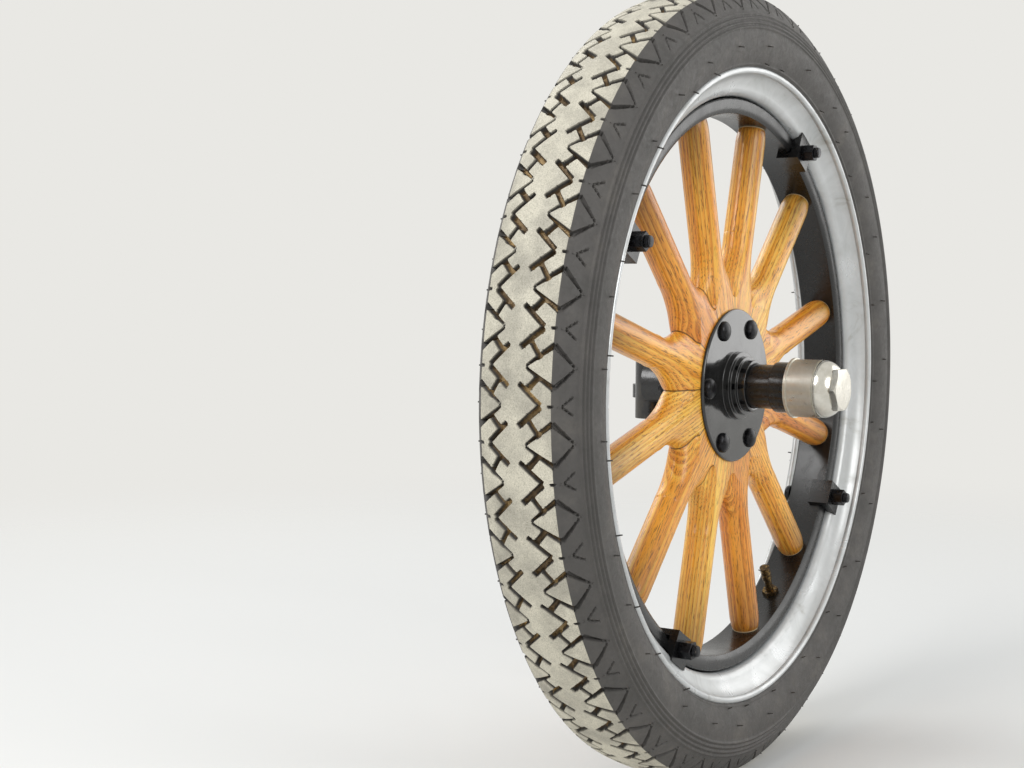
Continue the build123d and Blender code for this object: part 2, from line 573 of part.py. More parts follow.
# Bearings: one ring on each seat of the stub, running in the hub
BEARINGS = (               # name, a of its inboard face, width, seat radius, outside radius
    ("inner_bearing", HUB_BACK, INNER_BEARING_WIDTH, INNER_SEAT_R, INNER_BEARING_R),
    ("outer_bearing", OUTER_BEARING_FROM, OUTER_BEARING_WIDTH, OUTER_SEAT_R, OUTER_BEARING_R),
)
for name, inboard, width, seat_r, outside_r in BEARINGS:
    with BuildPart() as bearing:
        with BuildSketch(Plane.XZ.offset(HUB_OFFSET + inboard + BEARING_FIT)):
            Circle(outside_r - BEARING_FIT)
            Circle(seat_r + BEARING_FIT, mode=Mode.SUBTRACT)
        extrude(amount=width - 2 * BEARING_FIT)
    save(bearing.part, name)

# Steering arm: a stud through the lug, then a flat forging out to the tie-rod eye
with BuildPart() as steering_arm:
    with BuildSketch(Plane.XY.offset(ARM_LUG_Z - ARM_THICK / 2)):
        with Locations((ARM_LUG_X, ARM_LUG_WIDTH / 2 + ARM_LUG_R)):
            Circle(ARM_LUG_R)
        with Locations((ARM_EYE_X, ARM_EYE_Y)):
            Circle(ARM_EYE_R)
        make_hull()
    extrude(amount=ARM_THICK)
    with BuildSketch(Plane.XY.offset(ARM_LUG_Z - ARM_EYE_HEIGHT / 2)):
        with Locations((ARM_EYE_X, ARM_EYE_Y)):
            Circle(ARM_EYE_R)
    extrude(amount=ARM_EYE_HEIGHT)
    with BuildSketch(Plane.XZ.offset(-ARM_LUG_WIDTH / 2 - ARM_LUG_R)):
        with Locations((ARM_LUG_X, ARM_LUG_Z)):
            Circle(ARM_STUD_R)
    extrude(amount=ARM_LUG_WIDTH + ARM_LUG_R + ARM_NUT_HEIGHT)
    with BuildSketch(Plane.XY.offset(ARM_LUG_Z - ARM_EYE_HEIGHT)):
        with Locations((ARM_EYE_X, ARM_EYE_Y)):
            Circle(ARM_EYE_BORE_R)
    extrude(amount=2 * ARM_EYE_HEIGHT, mode=Mode.SUBTRACT)
save(steering_arm.part, "steering_arm")

with BuildPart() as arm_nut:
    with BuildSketch(Plane.XZ.offset(ARM_LUG_WIDTH / 2)):
        with Locations((ARM_LUG_X, ARM_LUG_Z)):
            RegularPolygon(ARM_NUT_FLATS / 2, 6, major_radius=False)
            Circle(ARM_STUD_R + ARM_FIT, mode=Mode.SUBTRACT)
    extrude(amount=ARM_NUT_HEIGHT)
save(arm_nut.part, "arm_nut")
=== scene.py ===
"""Looks of the left front wheel of a 1920s touring car, with its stub axle, over the CAD frame.

Metres, +Z up. The wheel spins about the Y axis, and its hub cap faces -Y.
"""
import bmesh
import bpy
import numpy as np
from math import pi, radians
from mathutils import Matrix, Vector


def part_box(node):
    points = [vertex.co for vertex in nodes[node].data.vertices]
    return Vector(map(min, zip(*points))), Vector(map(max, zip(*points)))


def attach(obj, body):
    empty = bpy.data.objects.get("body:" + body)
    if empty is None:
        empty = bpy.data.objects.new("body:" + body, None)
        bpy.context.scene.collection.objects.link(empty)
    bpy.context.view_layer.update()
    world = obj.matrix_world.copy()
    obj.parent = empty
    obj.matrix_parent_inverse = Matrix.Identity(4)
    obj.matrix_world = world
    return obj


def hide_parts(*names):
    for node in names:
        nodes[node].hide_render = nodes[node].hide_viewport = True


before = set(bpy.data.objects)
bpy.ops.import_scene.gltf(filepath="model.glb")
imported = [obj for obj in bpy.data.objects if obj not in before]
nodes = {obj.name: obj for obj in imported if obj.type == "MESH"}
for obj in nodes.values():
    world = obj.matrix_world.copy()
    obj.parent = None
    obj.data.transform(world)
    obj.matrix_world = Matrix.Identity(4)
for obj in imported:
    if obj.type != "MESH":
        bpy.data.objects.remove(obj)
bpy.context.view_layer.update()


# Stub axle, steering arm and dust shield. Real axles and arms are drop forgings of medium carbon
# steel, machined only at the bearing seats, and a shield is pressed from plate. All three are
# brushed with black chassis paint over the skin that this leaves.
def linear(code):
    """An sRGB hex colour as linear RGBA: each channel goes back through the sRGB curve."""
    srgb = [int(code[i:i + 2], 16) / 255 for i in (1, 3, 5)]
    return [c / 12.92 if c <= 0.04045 else ((c + 0.055) / 1.055) ** 2.4 for c in srgb] + [1.0]


def add(owner, kind, settings=None, links=None):
    """Adds a shader node to a material or the world. A setting is a ramp's stops, a socket or a
    property. A link feeds a socket from an output, or from the first output of a node."""
    made = owner.node_tree.nodes.new("ShaderNode" + kind)
    for name, value in (settings or {}).items():
        if name == "stops":
            ramp = made.color_ramp
            ramp.elements[0].position, ramp.elements[1].position = value[0][0], value[-1][0]
            for position, code in value[1:-1]:
                ramp.elements.new(position)
            for element, (position, code) in zip(ramp.elements, value):
                element.color = linear(code)
        elif isinstance(name, int) or name in made.inputs:
            made.inputs[name].default_value = value
        else:
            setattr(made, name, value)
    for name, source in (links or {}).items():
        output = source.outputs[0] if isinstance(source, bpy.types.Node) else source
        owner.node_tree.links.new(output, made.inputs[name])
    return made


def finish_named(name):
    """An empty material, and the output that gives its patterns Object coordinates in metres."""
    material = bpy.data.materials.new(name)
    material.use_nodes = True
    material.node_tree.nodes.clear()
    return material, add(material, "TexCoord").outputs["Object"]


def surface(material, settings, links):
    """Closes a material with its one Principled shader."""
    shader = add(material, "BsdfPrincipled", settings, links)
    add(material, "OutputMaterial", {}, {"Surface": shader})


def dress(names, material):
    """Gives CAD nodes their finish."""
    for name in names:
        nodes[name].data.materials.clear()
        nodes[name].data.materials.append(material)


# Black chassis paint on a forging: the scale of the forged skin shows as lumps 4 mm across, under
# a gloss that road dust has dulled in patches of about 26 mm.
chassis_paint, place = finish_named("black_chassis_paint_on_forging")
lumps = add(chassis_paint, "TexNoise", {"Scale": 250.0, "Detail": 3.0, "Roughness": 0.55},
            {"Vector": place})
patches = add(chassis_paint, "TexNoise", {"Scale": 38.0, "Detail": 5.0, "Roughness": 0.7},
              {"Vector": place})
dust = add(chassis_paint, "ValToRGB", {"stops": [(0.50, "#0e0e10"), (0.72, "#3a352c")]},
           {"Fac": patches})
dull = add(chassis_paint, "MapRange",
           {"From Min": 0.4, "From Max": 0.72, "To Min": 0.22, "To Max": 0.62}, {"Value": patches})
skin = add(chassis_paint, "Bump", {"Strength": 0.45, "Distance": 0.0007}, {"Height": lumps})
surface(chassis_paint, {"IOR": 1.5, "Coat Weight": 0.35, "Coat Roughness": 0.12},
        {"Base Color": dust, "Roughness": dull, "Normal": skin})
dress(["stub_axle", "steering_arm", "dust_shield"], chassis_paint)

# Bearings: rings of hardened chrome steel, ground all over, slid on to the axle and left in an oil
# film. The grinding marks run round it, drawn 0.75 mm apart so that they show, and the oil
# gathers in brownish streaks of about 11 mm.
bearing_steel, place = finish_named("ground_bearing_steel")
marks = add(bearing_steel, "TexWave", {"wave_type": "RINGS", "rings_direction": "Y",
                                       "Scale": 420.0, "Distortion": 1.5, "Detail": 2.0},
            {"Vector": place})
film = add(bearing_steel, "TexNoise", {"Scale": 90.0, "Detail": 4.0}, {"Vector": place})
oiled = add(bearing_steel, "ValToRGB", {"stops": [(0.40, "#a7a8a8"), (0.70, "#7a6a50")]},
            {"Fac": film})
ground = add(bearing_steel, "Bump", {"Strength": 0.1, "Distance": 0.0001},
             {"Height": marks.outputs["Fac"]})
surface(bearing_steel, {"Metallic": 1.0, "Roughness": 0.28},
        {"Base Color": oiled, "Normal": ground})
dress(["inner_bearing", "outer_bearing"], bearing_steel)

# Hub, its outer flange, felloe and rim clamps: forged and pressed steel in black asphalt enamel.
# The flange's stoved coat flows out like glass, with an orange peel of 3 mm. The others were
# touched up with a brush and are duller. Grit of 1 mm settles on both in smears of 33 mm.
ENAMELS = (                # finish, roughness in the clear and in smears, coat, dust, pieces
    ("stoved_black_enamel", 0.07, 0.26, 0.5, 0.5, ("hub_flange",)),
    ("brushed_black_enamel", 0.20, 0.38, 0.0, 0.25, ("hub", "felloe", "rim_clamps")),
)
ENAMELLED_EDGE = 0.0007
BEVELLED_FOLD = radians(35)


def eased(name, width):
    """Rounds a CAD node's sharp edges by width, so that they catch the light. The seams are
    welded, edges that fold by more than BEVELLED_FOLD are bevelled, and the normals are
    weighted by the faces' areas."""
    weld = nodes[name].modifiers.new("weld", "WELD")
    weld.merge_threshold = 1e-6
    bevel = nodes[name].modifiers.new("bevel", "BEVEL")
    bevel.width = width
    bevel.segments = 2
    bevel.limit_method = "ANGLE"
    bevel.angle_limit = BEVELLED_FOLD
    nodes[name].modifiers.new("normals", "WEIGHTED_NORMAL")


for finish, smooth, dull, coat, dust, enamelled in ENAMELS:
    enamel, place = finish_named(finish)
    peel = add(enamel, "TexNoise", {"Scale": 330.0, "Detail": 2.0}, {"Vector": place})
    specks = add(enamel, "TexNoise", {"Scale": 1100.0, "Detail": 2.0, "Roughness": 0.6},
                 {"Vector": place})
    smears = add(enamel, "TexNoise",
                 {"Scale": 30.0, "Detail": 6.0, "Roughness": 0.72, "Distortion": 0.6},
                 {"Vector": place})
    grit = add(enamel, "MapRange", {"From Min": 0.60, "From Max": 0.70}, {"Value": specks})
    veil = add(enamel, "MapRange", {"From Min": 0.42, "From Max": 0.75, "To Max": dust},
               {"Value": smears})
    dusty = add(enamel, "Math", {"operation": "MULTIPLY"}, {0: grit, 1: veil})
    film = add(enamel, "MixRGB", {"Color1": linear("#09090a"), "Color2": linear("#6d685c")},
               {"Fac": dusty})
    gloss = add(enamel, "MapRange",
                {"From Min": 0.35, "From Max": 0.75, "To Min": smooth, "To Max": dull},
                {"Value": smears})
    flow = add(enamel, "Bump", {"Strength": 0.12, "Distance": 0.0002}, {"Height": peel})
    surface(enamel, {"IOR": 1.53, "Coat Weight": coat, "Coat Roughness": smooth * 0.7},
            {"Base Color": film, "Roughness": gloss, "Normal": flow})
    dress(enamelled, enamel)
    for name in enamelled:
        eased(name, ENAMELLED_EDGE)

# Spokes: twelve of second-growth hickory, turned along the grain, stained and varnished. They are
# mitred round the hub and pressed home in the felloe.
SPOKES = 12
SPOKE_MIDDLE_Y = -0.0753
SEAT_R = 0.265             # where the felloe takes a spoke's end
BARE_LINE = (0.0016, 0.0010)       # before the seat: where it begins, and where it is full
GRIME = (0.175, SEAT_R - 0.003)    # from the axis: where it begins, and where it is full
JOINT_DIRT = (0.0003, 0.0011)      # from a mitre: where it is full, and where it ends

# Varnished hickory: growth rings 3.4 mm apart, whose open pores show as dark dashes up to 0.9 mm
# wide and 12 mm long. Every spoke is cut from another place in the log. Dirt darkens it towards
# the felloe and in the mitres, and a pale line of bare wood shows where its end is pressed home.
PITH = (0.031, 0.047)      # the usual distance from a spoke's middle to the pith, in x and y
LOG_LENGTH = 3.0
ALONG_RINGS = 0.045        # a pattern's scale along the grain, to that across it
ALONG_PORES = 0.075
TONE_PLACES = (0.0, 0.45, 0.8, 1.0)
TONES = (                  # each of early wood, body, palest wood and late wood
    ("#eba236", "#feb946", "#ffcc5a", "#d98a2a"),
    ("#db8f2e", "#f3a63e", "#fcb94e", "#c27822"),
    ("#f2b040", "#ffc552", "#ffd76c", "#e09a36"),
)
random = np.random.default_rng(12)
for number in range(SPOKES):
    hickory, place = finish_named(f"varnished_hickory_{number + 1:02d}")
    angle = (number + 0.5) * 2 * pi / SPOKES
    upright = add(hickory, "Mapping", {"Rotation": (0.0, -angle, 0.0)}, {"Vector": place})
    quarter = random.uniform(0, 2 * pi)
    away = random.uniform(0.8, 1.5)
    pith = (away * PITH[0] * np.cos(quarter), away * PITH[1] * np.sin(quarter) - SPOKE_MIDDLE_Y,
            random.uniform(0, LOG_LENGTH))
    log = add(hickory, "Mapping", {"Location": pith}, {"Vector": upright})
    ringed = add(hickory, "Mapping", {"Scale": (1.0, 1.0, ALONG_RINGS)}, {"Vector": log})
    drawn_out = add(hickory, "Mapping", {"Scale": (1.0, 1.0, ALONG_PORES)}, {"Vector": log})

    # The grain: the rings' tones, clouded along the log, with pores that open in the early wood
    wave = add(hickory, "TexWave",
               {"wave_type": "RINGS", "rings_direction": "Z", "wave_profile": "SAW",
                "Scale": 92.0, "Distortion": 5.0, "Detail": 3.0, "Detail Scale": 0.6,
                "Detail Roughness": 0.6}, {"Vector": ringed})
    rings = wave.outputs["Fac"]
    pores = add(hickory, "TexNoise", {"Scale": 1150.0, "Detail": 3.0, "Roughness": 0.62},
                {"Vector": drawn_out})
    cloud = add(hickory, "TexNoise", {"Scale": 95.0, "Detail": 3.0}, {"Vector": ringed})
    early = add(hickory, "MapRange",
                {"From Min": 0.25, "From Max": 0.95, "To Min": 0.045, "To Max": -0.05},
                {"Value": rings})
    open_pore = add(hickory, "Math", {"operation": "ADD"}, {0: pores, 1: early})
    dash = add(hickory, "MapRange", {"From Min": 0.55, "From Max": 0.66, "To Max": 0.75},
               {"Value": open_pore})
    tones = TONES[5 * number % 7 % 3]      # so that neighbours seldom match
    body = add(hickory, "ValToRGB", {"stops": list(zip(TONE_PLACES, tones))}, {"Fac": rings})
    shade = add(hickory, "ValToRGB", {"stops": [(0.30, "#e6bd8c"), (0.62, "#fffbf2")]},
                {"Fac": cloud})
    toned = add(hickory, "MixRGB", {"blend_type": "MULTIPLY", "Fac": 0.85},
                {"Color1": body, "Color2": shade})
    grained = add(hickory, "MixRGB", {"Color2": linear("#5a3010")},
                  {"Fac": dash, "Color1": toned})

    # Dirt: streaks that thicken towards the felloe, and what has crept into the mitres
    along = add(hickory, "SeparateXYZ", {}, {"Vector": upright})
    grime = add(hickory, "MapRange", {"From Min": GRIME[0], "From Max": GRIME[1], "To Max": 0.75},
                {"Value": along.outputs["Z"]})
    streaks = add(hickory, "MapRange", {"From Min": 0.3, "From Max": 0.62, "To Min": 0.25},
                  {"Value": cloud})
    blotch = add(hickory, "Math", {"operation": "MULTIPLY"}, {0: grime, 1: streaks})
    dirty = add(hickory, "MixRGB", {"Color2": linear("#4a280e")},
                {"Fac": blotch, "Color1": grained})
    across = add(hickory, "Math", {"operation": "ABSOLUTE"}, {0: along.outputs["X"]})
    mitre = add(hickory, "Math", {"operation": "MULTIPLY", 1: np.tan(pi / SPOKES)},
                {0: along.outputs["Z"]})
    gap = add(hickory, "Math", {"operation": "SUBTRACT"}, {0: mitre, 1: across})
    joint = add(hickory, "MapRange", {"From Min": JOINT_DIRT[0], "From Max": JOINT_DIRT[1],
                                      "To Min": 0.8, "To Max": 0.0}, {"Value": gap})
    jointed = add(hickory, "MixRGB", {"Color2": linear("#2a1508")},
                  {"Fac": joint, "Color1": dirty})

    # Bare wood at the end, and the varnish
    bare = add(hickory, "MapRange",
               {"From Min": SEAT_R - BARE_LINE[0], "From Max": SEAT_R - BARE_LINE[1]},
               {"Value": along.outputs["Z"]})
    wood = add(hickory, "MixRGB", {"Color2": linear("#d9c19a")}, {"Fac": bare, "Color1": jointed})
    gloss = add(hickory, "MapRange",
                {"From Min": 0.3, "From Max": 0.7, "To Min": 0.26, "To Max": 0.44},
                {"Value": cloud})
    sunk = add(hickory, "Bump", {"Strength": 0.35, "Distance": 0.0002, "invert": True},
               {"Height": dash})
    surface(hickory, {"IOR": 1.45, "Coat Weight": 0.2, "Coat Roughness": 0.1},
            {"Base Color": wood, "Roughness": gloss, "Normal": sunk})
    dress([f"spoke_{number + 1:02d}"], hickory)

# Nuts and clamp bolts: mild steel, turned or forged hot, then painted over with the wheel. The
# paint wears thin in spots of about 4 mm, so it is drawn as blackened steel.
NUT_EDGE = 0.0005
blackened_steel, place = finish_named("blackened_steel")
worn = add(blackened_steel, "TexNoise", {"Scale": 260.0, "Detail": 5.0, "Roughness": 0.68},
           {"Vector": place})
tone = add(blackened_steel, "ValToRGB",
           {"stops": [(0.42, "#141416"), (0.62, "#26262a"), (0.76, "#7b736a")]}, {"Fac": worn})
rough = add(blackened_steel, "MapRange",
            {"From Min": 0.35, "From Max": 0.7, "To Min": 0.22, "To Max": 0.5}, {"Value": worn})
pitted = add(blackened_steel, "Bump", {"Strength": 0.25, "Distance": 0.0002}, {"Height": worn})
surface(blackened_steel, {"Metallic": 0.65},
        {"Base Color": tone, "Roughness": rough, "Normal": pitted})
dress(["hub_nuts", "clamp_bolts", "clamp_nuts", "arm_nut"], blackened_steel)
for name in ("hub_nuts", "clamp_nuts", "arm_nut"):
    eased(name, NUT_EDGE)

# Bolt threads that show past the nuts, of the same blackened steel: cut at 1.6 mm pitch, with
# their ends rounded off. They sleeve the bolts' plain ends.
CLAMP_ANGLES = (30.0, 120.0, 210.0, 300.0)
CLAMP_CIRCLE_R = 0.2724
CLAMP_SHANK_R = 0.005
FLANGE_ANGLES = np.arange(30, 360, 60)
FLANGE_CIRCLE_R = 0.0625
FLANGE_SHANK_R = 0.0048
THREAD_PITCH = 0.0016
THREAD_DEPTH = 0.00055
ROOT_CLEARANCE = 0.00005   # from the shank to the foot of the thread
PROUD = 0.0003             # of the thread past the bolt's end
DRAWN_IN = 0.28            # share of a round end's cross-section that is gone at its tip
THREAD_SIDES, THREAD_ROWS = 24, 25
CRISP = 35                 # degrees of fold past which an edge of a bolt is left sharp
THREADS = (                # name, angles, circle, shank's radius, nut's face, end
    ("clamp_bolt_thread", CLAMP_ANGLES, CLAMP_CIRCLE_R, CLAMP_SHANK_R,
     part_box("clamp_nuts")[0].y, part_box("clamp_bolts")[0].y - PROUD),
    ("flange_bolt_thread", FLANGE_ANGLES, FLANGE_CIRCLE_R, FLANGE_SHANK_R,
     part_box("hub_nuts")[1].y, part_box("hub_bolts")[1].y + PROUD),
)


def grid_piece(name, points, body, material, crisp):
    """A mesh on a grid of points that wraps both ways. Quads join neighbours, and are turned
    outwards by the sign of the volume they enclose. Edges that fold by more than crisp degrees
    are left sharp."""
    rows, columns = points.shape[:2]
    index = np.arange(rows * columns).reshape(rows, columns)
    next_row = np.roll(index, -1, 0)
    quads = np.stack([index, np.roll(index, -1, 1), np.roll(next_row, -1, 1), next_row],
                     axis=-1).reshape(-1, 4)
    flat = points.reshape(-1, 3)
    a, b, c, d = (flat[quads[:, i]] for i in range(4))
    if np.einsum("ij,ij->", a, np.cross(b, c)) + np.einsum("ij,ij->", a, np.cross(c, d)) < 0:
        quads = quads[:, ::-1]
    mesh = bpy.data.meshes.new(name)
    mesh.vertices.add(len(flat))
    mesh.vertices.foreach_set("co", flat.astype(np.float32).ravel())
    mesh.loops.add(quads.size)
    mesh.loops.foreach_set("vertex_index", quads.astype(np.int32).ravel())
    mesh.polygons.add(len(quads))
    mesh.polygons.foreach_set("loop_start", np.arange(0, quads.size, 4, dtype=np.int32))
    mesh.update(calc_edges=True)
    mesh.polygons.foreach_set("use_smooth", np.ones(len(quads), bool))
    mesh.set_sharp_from_angle(angle=radians(crisp))
    mesh.materials.append(material)
    piece = bpy.data.objects.new(name, mesh)
    bpy.context.scene.collection.objects.link(piece)
    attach(piece, body)
    return piece


def merged(piece):
    """Merges the vertices that share a place, such as a pole's, drops the faces that this leaves
    empty, and turns the others outwards."""
    shape = bmesh.new()
    shape.from_mesh(piece.data)
    bmesh.ops.remove_doubles(shape, verts=shape.verts, dist=1e-6)
    bmesh.ops.dissolve_degenerate(shape, edges=shape.edges, dist=1e-7)
    bmesh.ops.recalc_face_normals(shape, faces=shape.faces)
    shape.to_mesh(piece.data)
    shape.free()
    return piece


def on_circle(radius, degrees):
    """The (x, z) of a bolt round the wheel's axis, degrees from the top: r sin, r cos."""
    return radius * np.sin(radians(degrees)), radius * np.cos(radians(degrees))


def turned_about(centre, r, y, turn):
    """A surface of radius r at y about a line parallel to Y: x + r cos turn, y, z + r sin turn."""
    x = centre[0] + r * np.cos(turn)
    return np.stack([x, np.broadcast_to(y, x.shape), centre[1] + r * np.sin(turn)], axis=-1)


def thread(centre, shank_r, nut_face, end):
    """A bolt's threaded end. Its radius is the shank's plus the thread's depth times a triangle
    wave of y / pitch - turn, all times the root of 1 - DRAWN_IN x the sixth power of the way
    along."""
    turn = np.arange(THREAD_SIDES) * 2 * pi / THREAD_SIDES
    along = np.linspace(0, 1, THREAD_ROWS)[:, None]
    y = nut_face + (end - nut_face) * along
    wave = np.abs(((y - nut_face) / THREAD_PITCH - turn / (2 * pi)) % 1 - 0.5) * 2
    r = (shank_r + ROOT_CLEARANCE + THREAD_DEPTH * wave) * np.sqrt(1 - DRAWN_IN * along ** 6)
    r[0] = r[-1] = 0.0
    return turned_about(centre, r, y, turn)


for group, angles, circle_r, shank_r, nut_face, end in THREADS:
    for number, angle in enumerate(angles, 1):
        points = thread(on_circle(circle_r, angle), shank_r, nut_face, end)
        merged(grid_piece(f"{group}_{number}", points, "wheel", blackened_steel,
                          CRISP))

# Flange bolts: forged of mild steel, painted with the wheel, and put through flange, spokes and
# hub. The head is a low dome on a narrow straight edge, where the solids have drums with rounded
# edges. Shank and end are as in the solids.
FLANGE_FACE = -0.094
HEAD_R = 0.0098
HEAD_EDGE = 0.0010
DOME_HEIGHT = 0.0048
BOLT_SIDES, DOME_ROWS = 32, 13


def bolt(centre, end):
    """A bolt whose dome is a quarter of an ellipse, of radius HEAD_R and height DOME_HEIGHT, on
    a straight edge of HEAD_EDGE. Its shank runs from under the head to end."""
    turn = np.arange(BOLT_SIDES) * 2 * pi / BOLT_SIDES
    rise = np.linspace(pi / 2, 0, DOME_ROWS)
    r = np.concatenate([HEAD_R * np.cos(rise), [HEAD_R, FLANGE_SHANK_R, FLANGE_SHANK_R, 0.0]])
    y = np.concatenate([FLANGE_FACE - HEAD_EDGE - DOME_HEIGHT * np.sin(rise),
                        [FLANGE_FACE, FLANGE_FACE, end, end]])
    return turned_about(centre, r[:, None], y[:, None], turn)


for number, angle in enumerate(FLANGE_ANGLES, 1):
    points = bolt(on_circle(FLANGE_CIRCLE_R, angle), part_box("hub_bolts")[1].y)
    piece = merged(grid_piece(f"flange_bolt_{number}", points, "wheel",
                              blackened_steel, CRISP))
    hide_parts("hub_bolts")

# Rim: rolled from one strip of steel, galvanised and painted with silver dope. Its flakes, drawn
# 0.4 mm across, make a soft sparkle, rolling has left waves of 18 mm, and road dust and water
# leave grey veils of about 45 mm.
silver_paint, place = finish_named("silver_dope_paint")
flakes = add(silver_paint, "TexNoise", {"Scale": 2400.0, "Detail": 1.0}, {"Vector": place})
veils = add(silver_paint, "TexNoise",
            {"Scale": 22.0, "Detail": 7.0, "Roughness": 0.66, "Distortion": 0.8},
            {"Vector": place})
waves = add(silver_paint, "TexNoise", {"Scale": 55.0, "Detail": 1.0}, {"Vector": place})
tone = add(silver_paint, "ValToRGB",
           {"stops": [(0.34, "#cfd1d1"), (0.60, "#bfc1c0"), (0.78, "#97958d")]}, {"Fac": veils})
rough = add(silver_paint, "MapRange",
            {"From Min": 0.3, "From Max": 0.75, "To Min": 0.24, "To Max": 0.46},
            {"Value": veils})
sparkle = add(silver_paint, "Bump", {"Strength": 0.08, "Distance": 0.0001}, {"Height": flakes})
rolled = add(silver_paint, "Bump", {"Strength": 0.25, "Distance": 0.0005},
             {"Height": waves, "Normal": sparkle})
surface(silver_paint, {"Metallic": 0.35, "Coat Weight": 0.25, "Coat Roughness": 0.15},
        {"Base Color": tone, "Roughness": rough, "Normal": rolled})
dress(["rim"], silver_paint)

# Valve: a turned brass stem with a nut and a dust cap, pushed through the felloe. Age and road
# dust have turned it nearly black, and the brass shows only in rubbed spots of 2 mm.
valve_brass, place = finish_named("tarnished_valve_brass")
tarnish = add(valve_brass, "TexNoise", {"Scale": 420.0, "Detail": 4.0, "Roughness": 0.65},
              {"Vector": place})
tone = add(valve_brass, "ValToRGB",
           {"stops": [(0.32, "#a5854d"), (0.46, "#5c4b33"), (0.62, "#2c2620")]}, {"Fac": tarnish})
rough = add(valve_brass, "MapRange",
            {"From Min": 0.3, "From Max": 0.6, "To Min": 0.25, "To Max": 0.5}, {"Value": tarnish})
pitted = add(valve_brass, "Bump", {"Strength": 0.2, "Distance": 0.0001}, {"Height": tarnish})
surface(valve_brass, {"Metallic": 1.0}, {"Base Color": tone, "Roughness": rough, "Normal": pitted})
dress(["valve_stem"], valve_brass)

# Hub cap: brass, spun and turned, screwed on to the hub, under bright nickel a little warmer than
# chromium. Polishing leaves hair scratches that run round it, drawn 1 mm apart, and cloudy patches
# of 13 mm. The skirt, which the spanner and the hand reach, is duller than the dome.
SKIRT_LENGTH = 0.0288
SKIRT_DULLER = 0.12
SKIRT_FADE = 0.0003        # to either side of the skirt's edge
CAP_EDGE = 0.0004
skirt_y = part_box("hub_cap")[1].y - SKIRT_LENGTH
nickel, place = finish_named("polished_nickel_plate")
hairs = add(nickel, "TexWave", {"wave_type": "RINGS", "rings_direction": "Y", "Scale": 300.0,
                                "Distortion": 2.5, "Detail": 3.0, "Detail Scale": 0.4},
            {"Vector": place})
clouds = add(nickel, "TexNoise", {"Scale": 75.0, "Detail": 5.0, "Roughness": 0.62},
             {"Vector": place})
tone = add(nickel, "ValToRGB", {"stops": [(0.30, "#e0ddd4"), (0.72, "#c2beb3")]},
           {"Fac": clouds})
rough = add(nickel, "MapRange",
            {"From Min": 0.3, "From Max": 0.72, "To Min": 0.12, "To Max": 0.30},
            {"Value": clouds})
turned = add(nickel, "Bump", {"Strength": 0.06, "Distance": 0.0001},
             {"Height": hairs.outputs["Fac"]})
axial = add(nickel, "SeparateXYZ", {}, {"Vector": place})
skirt = add(nickel, "MapRange", {"From Min": skirt_y - SKIRT_FADE,
                                 "From Max": skirt_y + SKIRT_FADE, "To Max": SKIRT_DULLER},
            {"Value": axial.outputs["Y"]})
dulled = add(nickel, "Math", {"operation": "ADD"}, {0: rough, 1: skirt})
surface(nickel, {"Metallic": 1.0}, {"Base Color": tone, "Roughness": dulled, "Normal": turned})
dress(["hub_cap"], nickel)
eased("hub_cap", CAP_EDGE)

# Tyre: black rubber over cord, vulcanised in a mould of two halves that meet on the crown. Worn
# rubber greys to a warm black in patches of 38 mm, with scuffs of 6 mm and pits of 1 mm. Pale
# road dust lies on the tread's tops, and brown soil packs its grooves.
tyre_rubber, place = finish_named("vulcanised_tyre_rubber")
top = add(tyre_rubber, "Attribute", {"attribute_name": "tread_top"})
groove = add(tyre_rubber, "Attribute", {"attribute_name": "groove_floor"})
grit = add(tyre_rubber, "TexNoise", {"Scale": 900.0, "Detail": 4.0, "Roughness": 0.75},
           {"Vector": place})
patches = add(tyre_rubber, "TexNoise", {"Scale": 26.0, "Detail": 6.0, "Roughness": 0.65},
              {"Vector": place})
scuffs = add(tyre_rubber, "TexNoise",
             {"Scale": 160.0, "Detail": 5.0, "Roughness": 0.7, "Distortion": 1.0},
             {"Vector": place})
rubber = add(tyre_rubber, "ValToRGB",
             {"stops": [(0.30, "#454340"), (0.55, "#4f4c49"), (0.78, "#605c56")]},
             {"Fac": patches})
powder = add(tyre_rubber, "ValToRGB",
             {"stops": [(0.30, "#97927f"), (0.46, "#c6c0ae"), (0.68, "#ddd6c3")]}, {"Fac": grit})
soil = add(tyre_rubber, "ValToRGB",
           {"stops": [(0.36, "#4a3d2b"), (0.50, "#80694a"), (0.66, "#c4a672")]},
           {"Fac": patches})
on_top = add(tyre_rubber, "MapRange", {"From Min": 0.7, "From Max": 1.0},
             {"Value": top.outputs["Fac"]})
in_groove = add(tyre_rubber, "MapRange", {"From Min": 0.5, "From Max": 0.9},
                {"Value": groove.outputs["Fac"]})
thin = add(tyre_rubber, "MapRange",
           {"From Min": 0.40, "From Max": 0.72, "To Min": 1.0, "To Max": 0.45},
           {"Value": patches})
dusted = add(tyre_rubber, "Math", {"operation": "MULTIPLY"}, {0: on_top, 1: thin})
topped = add(tyre_rubber, "MixRGB", {}, {"Fac": dusted, "Color1": rubber, "Color2": powder})
packed = add(tyre_rubber, "MixRGB", {}, {"Fac": in_groove, "Color1": topped, "Color2": soil})
rough = add(tyre_rubber, "MapRange",
            {"From Min": 0.3, "From Max": 0.7, "To Min": 0.5, "To Max": 0.78}, {"Value": scuffs})
fine = add(tyre_rubber, "Bump", {"Strength": 0.35, "Distance": 0.0004}, {"Height": grit})
scuffed = add(tyre_rubber, "Bump", {"Strength": 0.3, "Distance": 0.0006},
              {"Height": scuffs, "Normal": fine})
surface(tyre_rubber, {"IOR": 1.52, "Specular IOR Level": 0.4},
        {"Base Color": packed, "Roughness": rough, "Normal": scuffed})

